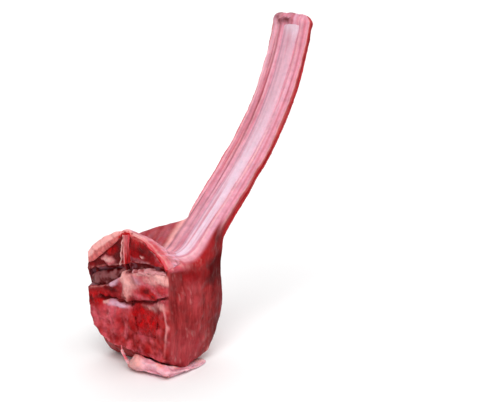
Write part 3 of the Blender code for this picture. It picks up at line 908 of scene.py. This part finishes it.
def vertebra_tube(start, end, seed):
    """A halved vertebra: its outline carried along the spine, with the sawn face's relief and a paler rim."""
    end_rings = 18
    y = np.linspace(start, end, 84)
    loops, in_canal = bone_outline(y)
    tube = capped(across_spine(y, loops), end_rings, end_rings)
    ends = np.ones((len(tube), 1))
    ends[end_rings:-end_rings] = 0
    x, y, z = coordinates(tube)
    _, bone_top, roof, floor, _ = spine_levels(y)
    face = (1 - smooth(0.1, 0.5, x)) * (1 - in_canal) * (1 - ends)
    rim = bell(np.minimum.reduce([np.abs(z - level) for level in (bone_top, roof, floor)]), 0, 0.8)
    lumps, mid = rough(tube, 4.5, seed + 5, 2), rough(tube, 1.8, seed, 2)
    paint, rise = sawn_paint(y, z)
    slit = stroke(y, z, CANAL_SLIT, 1.8)
    tube = swell(tube, (rise - 0.05 - 0.8 * slit) * face + (0.4 * lumps + 0.25 * mid) * (1 - face))
    canal = in_canal * smooth(0.2, 1.2, x)
    shell = (1 - face) * (1 - ends) * (1 - in_canal)
    upper = shell * smooth(-1, 2, z - roof)
    low_canal = canal * (1 - smooth(0.25, 0.6, (z - floor) / np.maximum(roof - floor, 0.1)))
    masks = {key: value * face for key, value in paint.items()}
    masks["pale"] += rim * (0.35 * face**2 + 0.15 * ends) * smooth(-0.6, 0.3, mid)
    masks["pale"] += 0.25 * upper + 0.4 * low_canal * smooth(-0.3, 0.3, mid)
    masks["cool"] += 0.45 * canal * smooth(-0.2, 0.5, lumps) + 0.3 * upper
    # Painted shade in the canal and in the slit along it
    masks["deep"] += 0.6 * canal + 0.2 * ends * smooth(-0.3, 0.4, lumps)
    masks["deep"] += 0.6 * slit * face + 0.3 * (shell - upper)
    masks["rosy"] += 0.6 * upper + 0.2 * ends
    masks["blood"] += 0.25 * ends * smooth(-0.2, 0.4, mid)
    return tube, painted(0.8 * mid, 0.5, **masks)


def disc_tube():
    """The disc: a thin slab between the bodies, bulging a little past the sawn face in vertical folds."""
    reach = DISC_THICK / 2 + 0.3
    y = np.linspace(-reach, reach, 18)
    _, bone_top, roof, _, _ = spine_levels(y)
    corners = dome(BODY_HALF_WIDTH - 0.3, bone_top, roof - 0.5, np.radians(np.linspace(90, 0, 9)))
    loops = outline([*corners, (0.0, roof)], [5] * 8 + [24, 60])
    tube = capped(across_spine(y, loops), 6, 6)
    place = tube * (1, 1, 0.12)
    folds = rough(place, 1.0, 23, 2)
    tube = swell(tube, 0.1 + 0.5 * folds)
    _, y, z = coordinates(tube)
    y += 0.45 * rough(tube * (0, 0, 1), 3.0, 25, 2) * smooth(40, 60, z)
    high, left = smooth(58, 72, z), smooth(0.5, 1.3, y)
    pale = smooth(-0.05, 0.4, rough(place, 0.9, 29, 2) + 0.35 * (y > 0.2) - 0.25)
    # The disc is darker in the hollows between its folds: painted shade
    return tube, painted(
        np.clip(0.8 * folds, -0.5, 0.5),
        0.6,
        rosy=0.1 + 0.45 * np.maximum(high**2, left),
        pale=np.maximum(0.25 * pale * (0.2 + 0.6 * high), (0.4 + 0.25 * high) * left),
        cool=0.0,
        blood=0.9 * (1 - 0.6 * pale) * (1 - 0.55 * high) * (1 - left),
        deep=(0.25 + 0.5 * smooth(-0.2, 0.4, -folds)) * (1 - 0.7 * high) * (1 - left),
    )


def ligament_reach(y):
    """How far the ligament reaches down over the far body."""
    return 1.3 * bell(y, 16, 7)


def ligament_tube():
    """The ligament: a strip between two domes, carried along the spine and puffed over the far body."""
    y = np.linspace(NEAR_Y + 0.2, FAR_Y - 0.2, 190)
    top, bone_top, roof, _, _ = spine_levels(y)
    reach = ligament_reach(y)
    angles = np.radians(np.linspace(90, 24, 9))
    foot = np.linspace(0, 1, len(angles)) ** 4
    outer = dome(BODY_HALF_WIDTH, top, roof - 0.5, angles, 2.6 * foot, 0.8 * foot)
    inner_top, inner_foot = bone_top - 0.2 - reach, roof - 0.7 - reach
    inner = dome(BODY_HALF_WIDTH, inner_top, inner_foot, angles, 1.6 * foot, 0.8 * foot)
    loops = outline(outer + inner[::-1], [6] * 8 + [10] + [3] * 8 + [18])
    tube = capped(across_spine(y, loops), 6, 6)
    x, y, z = coordinates(tube)
    top, bone_top, _, _, _ = spine_levels(y)
    lumps, mid, small = rough(tube, (6, 5, 4), 37, 2), rough(tube, 2.2, 39, 2), rough(tube, 1.1, 41, 2)
    face, wedge = 1 - smooth(0.2, 1.2, x), smooth(3, 8, y)
    puff = face * wedge * (1 - smooth(22, 27, y))
    finished = swell(tube, 0.4 * lumps + (0.14 * mid + 0.05 * small) * (1 - 0.7 * wedge) + 0.9 * puff)
    finished[..., 2] -= 1.2 * (1 - smooth(NEAR_Y, NEAR_Y + 3.0, y))
    finished[..., 0] += 1.5 * smooth(9, 14, x) * rough(stack(0, y, 0), 7.0, 49, 2)

    lines = rough(stack(0.16 * x, y, 0), 1.5, 47, 2)
    skin, near_end = smooth(0.8, 3.0, x), 1 - smooth(-18, -8, y)
    inner_edge = bone_top - ligament_reach(y)
    low_share = (z - inner_edge) / np.maximum(top - inner_edge, 0.1) + 0.15 * mid
    low = wedge * face * (1 - smooth(0.3, 0.62, low_share))
    under_share = (z - bone_top) / np.maximum(top - bone_top, 0.1) + 0.2 * mid
    under = (1 - wedge) * face * (1 - smooth(0.25, 0.6, under_share))
    torn_lines = smooth(-0.2, 0.4, rough(stack(0, y, 0.12 * z), 1.2, 33, 2))
    split = (1 - smooth(1.8, 5.6, np.abs(y - 1.4))) * torn_lines
    rosy = (0.45 + 0.5 * near_end) * (1 - wedge) * face + 0.25 * puff * smooth(-0.2, 0.5, mid)
    pale = np.maximum(0.85 * wedge * smooth(-1.6, 0.2, mid), 0.7 * (1 - near_end) * (1 - under))
    cool = skin * (0.35 + 0.45 * smooth(-0.1, 0.4, lines)) * (1 - 0.7 * near_end * (1 - smooth(4, 9, x)))
    # A lavender patch on the near half of the face, partly a painted highlight
    cool += 0.55 * (1 - 0.8 * near_end) * face * bell(y, -11, 5) * smooth(-0.2, 0.4, lumps)
    blood = 0.5 * low + 0.65 * under + 0.4 * near_end * (1 - smooth(3, 8, x)) * smooth(-0.9, 0.3, mid)
    blood += (0.8 * split + 0.45 * smooth(0.15, 0.6, -mid) * (1 - 0.75 * wedge)) * face
    deep = 0.3 * low * smooth(-0.4, 0.4, small) + 0.3 * smooth(0.3, 0.7, -mid) * (1 - 0.6 * wedge)
    return finished, painted(
        np.clip(0.8 * lines, -0.5, 0.5),
        0.5,
        rosy=rosy + skin * (0.7 + 0.4 * lines),
        pale=face * pale * (1 - low) + skin * 0.35 * smooth(0.2, 0.5, lines),
        cool=cool,
        blood=blood + 0.35 * skin * smooth(0.0, 0.5, -lumps),
        deep=deep + 0.25 * skin * smooth(0.1, 0.5, -lines),
    )


def fat_height(x, y):
    """Height of the fat's upper side: thick at the near side and the sawn face, thin at its end."""
    thick = FAT_THICK + 0.12 * (y - NEAR_Y)
    return np.maximum(thick * (1 - smooth(-8, 31, x)) * (1 - smooth(-9, 6, y)), 0.9)


def fat_tube():
    """The fat under the near side: sections across it carried along X, lobed in front and flat below."""
    x = np.linspace(-FAT_LIP, FAT_END, 150)
    middle, reach = (FAT_END - FAT_LIP) / 2, (FAT_END + FAT_LIP) / 2 + 0.5
    ends = np.sqrt(np.maximum(0.0, 1 - np.abs((x - middle) / reach) ** 4))
    front = NEAR_Y + 2.2 - (FAT_LIP + 2.2) * ends
    back = 3.0 * np.sin(0.2 * x) - 1.0
    low = 2.2 * (1 - smooth(-FAT_LIP, 2.5, x))
    covered = [front + 2.6 + (back - front - 2.6) * t for t in np.linspace(0, 1, 12)]
    heights = [fat_height(np.maximum(x, 0), y) * (0.35 + 0.65 * ends) for y in covered]
    lip = heights[0] - low
    corners = [(back, low), (front + 3.2, low), (front, low + 0.5 * lip), (front + 0.9, low + 0.9 * lip)]
    loops = outline(corners + list(zip(covered, heights)), [40, 10, 12, 12] + [8] * 11 + [6])
    rings = np.concatenate([0 * loops[..., :1] + x[:, None, None], loops], axis=-1)[:, ::-1]
    tube = capped(rings, 8, 6)
    x, y, z = coordinates(tube)
    # Folds run round the lip, by x - y, which grows along the sawn side and then along the near side
    around = x - y
    wander = 0.7 * rough(tube, 7, 91, 2)
    sheet = stack(0.16 * around, 0.6 * (np.minimum(x, y - NEAR_Y) + FAT_LIP), z + wander)
    layers, threads = rough(sheet, 2.8, 95, 2), rough(sheet, 1.1, 97, 2)
    lobes, mid, small = rough(tube, (8, 7, 5), 53, 2), rough(tube, 2.6, 54, 2), rough(tube, 1.1, 59, 2)
    upper = stroke(around, z + wander, UPPER_FOLD, 1.2)
    lower = stroke(around, z + wander, LOWER_FOLD, 1.0)
    folds = np.maximum(upper, 0.8 * lower) * smooth(4, 8, around)
    above = smooth(0.2, 1.8, z)
    knob = bell(x, -1.5, 3.0) * bell(y, -8.3, 2.7) * bell(z, 6.0, 2.8)
    roll = (1 - smooth(-0.5, 5.0, x)) * smooth(1.5, 4.0, z)
    relief = 0.35 * lobes + 0.55 * layers + 0.2 * threads + 0.2 * mid - 0.9 * folds + 2.0 * knob + 1.2 * roll
    finished = swell(tube, above * relief)
    lift = (1 - smooth(-0.8, 1.6, x)) * smooth(2.5, 5.5, z) * (1 - smooth(-9, -2, y))
    finished[..., 2] = np.maximum(finished[..., 2] + 1.7 * lift, 0.0)
    cold = smooth(-0.2, 0.4, rough(finished, 7, 63, 2) + 0.02 * (around - 18))
    # Crests of the layers are paler, partly a painted highlight; the folds get painted shade in blood and
    # deep
    crest_fat_and_highlight = smooth(-0.3, 0.4, layers + 0.4 * threads)
    blood = 0.2 * folds * above + 0.2 * knob * smooth(-0.2, 0.3, small)
    return finished, painted(
        np.clip(0.8 * threads, -0.5, 0.5),
        0.6,
        rosy=0.2 + 0.5 * (1 - crest_fat_and_highlight) + 0.3 * knob + 0.5 * folds,
        pale=(0.3 + 0.65 * crest_fat_and_highlight) * (1 - 0.7 * folds),
        cool=0.55 * cold * (1 - knob),
        blood=blood + 0.3 * smooth(-14, -4, y) * smooth(-0.1, 0.4, -mid),
        deep=0.15 * folds * smooth(0.0, 0.5, -small) + 0.25 * smooth(-16, -4, y),
    )


def strand_tube(path, widths, thick, seed, tint, facing, wrinkle):
    """A loose strand: an ellipse carried along a smooth path, as wide as given at its points, and wrinkled.

    The path is a Catmull-Rom curve through its points. Tint holds a number for each of the layers.
    """
    path, places = np.asarray(path, float), np.arange(len(path))
    t = np.linspace(0, places[-1], 90)
    i = np.clip(t.astype(int), 0, len(path) - 2)
    u = (t - i)[:, None]
    before, after = path[np.maximum(i - 1, 0)], path[np.minimum(i + 2, places[-1])]
    a, b = path[i], path[i + 1]
    second, third = 2 * before - 5 * a + 4 * b - after, 3 * a - before - 3 * b + after
    line = 0.5 * (2 * a + (b - before) * u + second * u**2 + third * u**3)
    forward = np.gradient(line, axis=0)
    forward /= np.linalg.norm(forward, axis=1, keepdims=True)
    across = np.cross(forward, facing)
    across /= np.linalg.norm(across, axis=1, keepdims=True)
    up = np.cross(across, forward)
    ending = np.sin(np.pi * np.clip(t / t[-1], 0.01, 0.99)) ** 0.3
    width = np.interp(t, places, widths)[:, None, None]
    thick = np.interp(t, places, np.broadcast_to(thick, len(path)))[:, None, None]
    angle = np.linspace(0, 2 * np.pi, 28, endpoint=False)[:, None]
    ring = across[:, None] * np.cos(angle) * width + up[:, None] * np.sin(angle) * thick
    tube = (line[:, None] + 0.5 * ring * ending[:, None, None])[:, ::-1]
    mid, small = rough(tube, 3.0, seed, 2), rough(tube, 1.2, seed + 3, 2)
    tube = swell(tube, 0.28 * wrinkle * np.minimum(thick[..., 0], 3.0) * (mid + 0.6 * small))
    mottled = 2 * smooth(-0.4, 0.4, mid + 0.4 * small) - 1
    turns = (-0.4, 0.6, 0.5, -0.5, -0.4)
    tints = {key: value * (1 + wrinkle * turn * mottled) for key, value, turn in zip(LAYERS, tint, turns)}
    return tube, painted(0.8 * small, 0.5, **tints)


def canal_strand(y, x, up, widths, thick, seed, tint, wrinkle):
    """A strand in the canal through places y, at a distance x from the sawn face and a share up the canal."""
    _, _, roof, floor, _ = spine_levels(y)
    path = stack(x, y, floor + up * (roof - floor))
    return strand_tube(path, widths, thick * (roof - floor), seed, tint, (0, 0, 1), wrinkle)


# Operators


class ChopLook(PropertyGroup):
    """Colours and swellings of the chop's tissues."""

    muscle_dark: FloatVectorProperty(
        name="Muscle, dark",
        description="Dark strands of the muscle",
        subtype="COLOR",
        default=(0.17, 0.003, 0.004),
    )
    muscle_light: FloatVectorProperty(
        name="Muscle, light",
        description="Light strands of the muscle",
        subtype="COLOR",
        default=(0.42, 0.036, 0.039),
    )
    rosy: FloatVectorProperty(
        name="Rosy tissue",
        description="Thin pink tissue over muscle",
        subtype="COLOR",
        default=(0.7, 0.11, 0.15),
    )
    fat: FloatVectorProperty(
        name="Fat and gristle",
        description="Pale fat, gristle and sawn bone",
        subtype="COLOR",
        default=(0.86, 0.42, 0.4),
    )
    lining: FloatVectorProperty(
        name="Lining",
        description="Cool lining over the rib",
        subtype="COLOR",
        default=(0.74, 0.42, 0.54),
    )
    # The whitest lining over the rib, partly a painted sheen of light along it
    sheen: FloatVectorProperty(
        name="Lining, thick",
        description="Whitest places of the rib's lining",
        subtype="COLOR",
        default=(0.79, 0.66, 0.76),
    )
    blood: FloatVectorProperty(
        name="Blood",
        description="Bright blood and red marrow",
        subtype="COLOR",
        default=(0.5, 0.001, 0.003),
    )
    marrow: FloatVectorProperty(
        name="Marrow",
        description="Red in the hollows of spongy bone",
        subtype="COLOR",
        default=(0.2, 0.002, 0.005),
    )
    # Deep is dark blood, and also painted shade in creases, pits, slits, folds, the canal and under the lip
    deep: FloatVectorProperty(
        name="Creases",
        description="Dark blood in creases and pits",
        subtype="COLOR",
        default=(0.085, 0.001, 0.002),
    )
    swelling: FloatProperty(
        name="Rib swelling",
        description="How far meat swells beside the rib",
        unit="LENGTH",
        default=0.00055,
        min=0.0,
        max=0.002,
    )
    bulge: FloatProperty(
        name="Near bulge",
        description="How far the eye muscle bulges on the near side",
        unit="LENGTH",
        default=0.002,
        min=0.0,
        max=0.004,
    )


class CHOP_OT_muscle(Operator):
    """Build the block of muscle and the strip that carries the rib"""

    bl_idname = "chop.muscle"
    bl_label = "Muscle"

    def execute(self, context):
        look = context.scene.chop_look
        tones, fibres, film = (look.muscle_dark, look.muscle_light), (680.0, 680.0, 110.0), (0.34, 0.58)
        material = tissue("raw_muscle", look, tones, fibres, 0.5, 0.0006, film, 0.07, mottling=0.15)
        new_piece("muscle", [muscle_tube(look)], material, ["meat"])
        return {"FINISHED"}


class CHOP_OT_rib(Operator):
    """Build the rib under its lining"""

    bl_idname = "chop.rib"
    bl_label = "Rib"

    def execute(self, context):
        look = context.scene.chop_look
        tones, fibres, film = ((0.5, 0.24, 0.29), (0.62, 0.36, 0.42)), (300.0, 700.0, 300.0), (0.22, 0.42)
        finish = {"soft": 0.15, "pale": look.sheen, "mottling": 0.09}
        material = tissue("lined_rib", look, tones, fibres, 0.4, 0.0004, film, 0.3, **finish)
        new_piece("rib", [rib_tube()], material, ["rib_bone"])
        return {"FINISHED"}


class CHOP_OT_vertebrae(Operator):
    """Build the two halved vertebrae"""

    bl_idname = "chop.vertebrae"
    bl_label = "Vertebrae"

    def execute(self, context):
        look = context.scene.chop_look
        tones, fibres, film = ((0.14, 0.002, 0.004), (0.34, 0.014, 0.017)), (420.0, 420.0, 420.0), (0.28, 0.5)
        material = tissue("sawn_bone", look, tones, fibres, 0.5, 0.0006, film, 0.14, spongy=0.4)
        right = vertebra_tube(NEAR_Y + 1.0, -DISC_THICK / 2, 101)
        new_piece("vertebra_right", [right], material, ["vertebra_near"])
        left = vertebra_tube(DISC_THICK / 2, FAR_Y, 131)
        new_piece("vertebra_left", [left], material, ["vertebra_far"])
        return {"FINISHED"}


class CHOP_OT_gristle(Operator):
    """Build the disc between the vertebrae, the ligament over them and the tissue in their canal"""

    bl_idname = "chop.gristle"
    bl_label = "Disc and ligament"

    def execute(self, context):
        look = context.scene.chop_look
        tones, fibres, film = ((0.36, 0.012, 0.016), (0.6, 0.09, 0.1)), (600.0, 600.0, 60.0), (0.28, 0.45)
        cartilage = tissue("cartilage", look, tones, fibres, 0.5, 0.0004, film, 0.18)
        new_piece("spine_disc", [disc_tube()], cartilage, ["disc"])
        tones, fibres, film = ((0.74, 0.26, 0.25), (0.86, 0.43, 0.4)), (250.0, 120.0, 250.0), (0.3, 0.5)
        strap = tissue("ligament_fat", look, tones, fibres, 0.3, 0.0004, film, 0.2, soft=0.25, mottling=0.12)
        new_piece("spine_ligament", [ligament_tube()], strap, ["ligament"])
        # The far canal's tissue is tinted deep: painted shade of the hollow canal over the tissue
        y, widths = np.array([26.0, 20.0, 14.0, 8.0, 2.5]), (5.2, 5.6, 5.4, 4.6, 3.0)
        left = canal_strand(y, 3.0, 0.34, widths, 0.8, 141, (0.1, 0.0, 0.2, 0.1, 0.9), 0.3)
        y, widths = np.array([-4.0, -9.0, -14.0, -20.0, -26.0]), (3.4, 4.6, 4.6, 4.8, 4.2)
        right = canal_strand(y, 1.1, 0.05, widths, 0.6, 149, (0.5, 0.4, 0.2, 0.25, 0.35), 0.9)
        new_piece("canal_tissue", [left, right], strap)
        return {"FINISHED"}


class CHOP_OT_fat(Operator):
    """Build the back fat that the chop stands on, and its loose flap"""

    bl_idname = "chop.fat"
    bl_label = "Back fat"

    def execute(self, context):
        look = context.scene.chop_look
        tones, fibres, film = ((0.82, 0.46, 0.46), (0.92, 0.62, 0.62)), (200.0, 200.0, 260.0), (0.32, 0.55)
        material = tissue("back_fat", look, tones, fibres, 0.35, 0.0004, film, 0.25, soft=0.3)
        new_piece("fat_layer", [fat_tube()], material, ["fat_cap"])
        tint, facing = (0.7, 0.3, 0.2, 0.1, 0.0), (0.2, -0.5, 0.85)
        flap = strand_tube(FLAP_PATH, FLAP_WIDTHS, 0.9, 77, tint, facing, 1.0)
        new_piece("fat_flap", [flap], material)
        return {"FINISHED"}


class CHOP_OT_stage(Operator):
    """Lay the pale floor, and set the lights and the camera"""

    bl_idname = "chop.stage"
    bl_label = "Stage"

    def execute(self, context):
        lay_floor()
        scene = context.scene
        world = bpy.data.worlds.new("studio")
        world.use_nodes = True
        tree = world.node_tree
        sky = tree.nodes["Background"]
        sky.inputs["Color"].default_value = (1.0, 1.0, 1.0, 1)
        seen = tree.nodes.new("ShaderNodeLightPath").outputs["Is Camera Ray"]
        strength = step(tree, seen, 0.0, 1.0, "LINEAR", SKY_LIGHT, SKY_SEEN)
        tree.links.new(strength, sky.inputs["Strength"])
        scene.world = world
        for name, place, power, spread in LIGHTS:
            lamp = bpy.data.lights.new(name, "SUN")
            lamp.energy, lamp.angle = power, np.radians(spread)
            holder = bpy.data.objects.new(name, lamp)
            aim(holder, place, (0.0, 0.0, 0.0))
            scene.collection.objects.link(holder)
        camera = bpy.data.objects.new("camera", bpy.data.cameras.new("camera"))
        camera.data.lens, camera.data.sensor_width = LENS
        turn, rise = np.radians(CAMERA_TURN)
        back = np.array([np.sin(turn) * np.cos(rise), -np.cos(turn) * np.cos(rise), np.sin(rise)])
        look_from = np.array(CAMERA_PLACE) * MM
        aim(camera, look_from, look_from - back)
        camera.data.clip_start = 0.01
        scene.collection.objects.link(camera)
        scene.camera = camera
        scene.view_settings.view_transform = "Standard"
        return {"FINISHED"}


def lay_floor():
    """A wide pale floor, a little below the chop."""
    mesh = bpy.data.meshes.new("floor")
    signs = ((-1, -1), (1, -1), (1, 1), (-1, 1))
    corners = [(i * FLOOR_HALF, j * FLOOR_HALF, FLOOR_HEIGHT) for i, j in signs]
    mesh.from_pydata(corners, [], [(0, 1, 2, 3)])
    white = bpy.data.materials.new("pale_floor")
    white.use_nodes = True
    shader = white.node_tree.nodes["Principled BSDF"]
    shader.inputs["Base Color"].default_value = (0.93, 0.93, 0.93, 1)
    shader.inputs["Roughness"].default_value = 0.7
    shader.inputs["Specular IOR Level"].default_value = 0.2
    mesh.materials.append(white)
    floor = bpy.data.objects.new("floor", mesh)
    bpy.context.scene.collection.objects.link(floor)


def aim(holder, place, target):
    """Put an object at a place, its -Z pointing at the target and its Y up."""
    holder.location = Vector(place)
    holder.rotation_euler = (Vector(target) - Vector(place)).to_track_quat("-Z", "Y").to_euler()


class CHOP_PT_panel(Panel):
    """Lists the chop's looks and the pieces to build"""

    bl_idname = "CHOP_PT_panel"
    bl_label = "Raw Rib Chop"
    bl_space_type = "VIEW_3D"
    bl_region_type = "UI"
    bl_category = "Chop"

    def draw(self, context):
        for name in ChopLook.__annotations__:
            self.layout.prop(context.scene.chop_look, name)
        for made in STEPS:
            self.layout.operator(made.bl_idname)


STEPS = (CHOP_OT_muscle, CHOP_OT_rib, CHOP_OT_vertebrae, CHOP_OT_gristle, CHOP_OT_fat, CHOP_OT_stage)


def register():
    """Add the looks, the operators and the panel to Blender."""
    for made in (ChopLook, *STEPS, CHOP_PT_panel):
        bpy.utils.register_class(made)
    bpy.types.Scene.chop_look = PointerProperty(type=ChopLook)


def unregister():
    """Take them away again."""
    del bpy.types.Scene.chop_look
    for made in reversed((ChopLook, *STEPS, CHOP_PT_panel)):
        bpy.utils.unregister_class(made)


def main():
    """Build every piece and the stage."""
    register()
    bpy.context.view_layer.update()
    for made in STEPS:
        getattr(bpy.ops.chop, made.bl_idname.split(".")[1])()


if __name__ == "__main__":
    main()
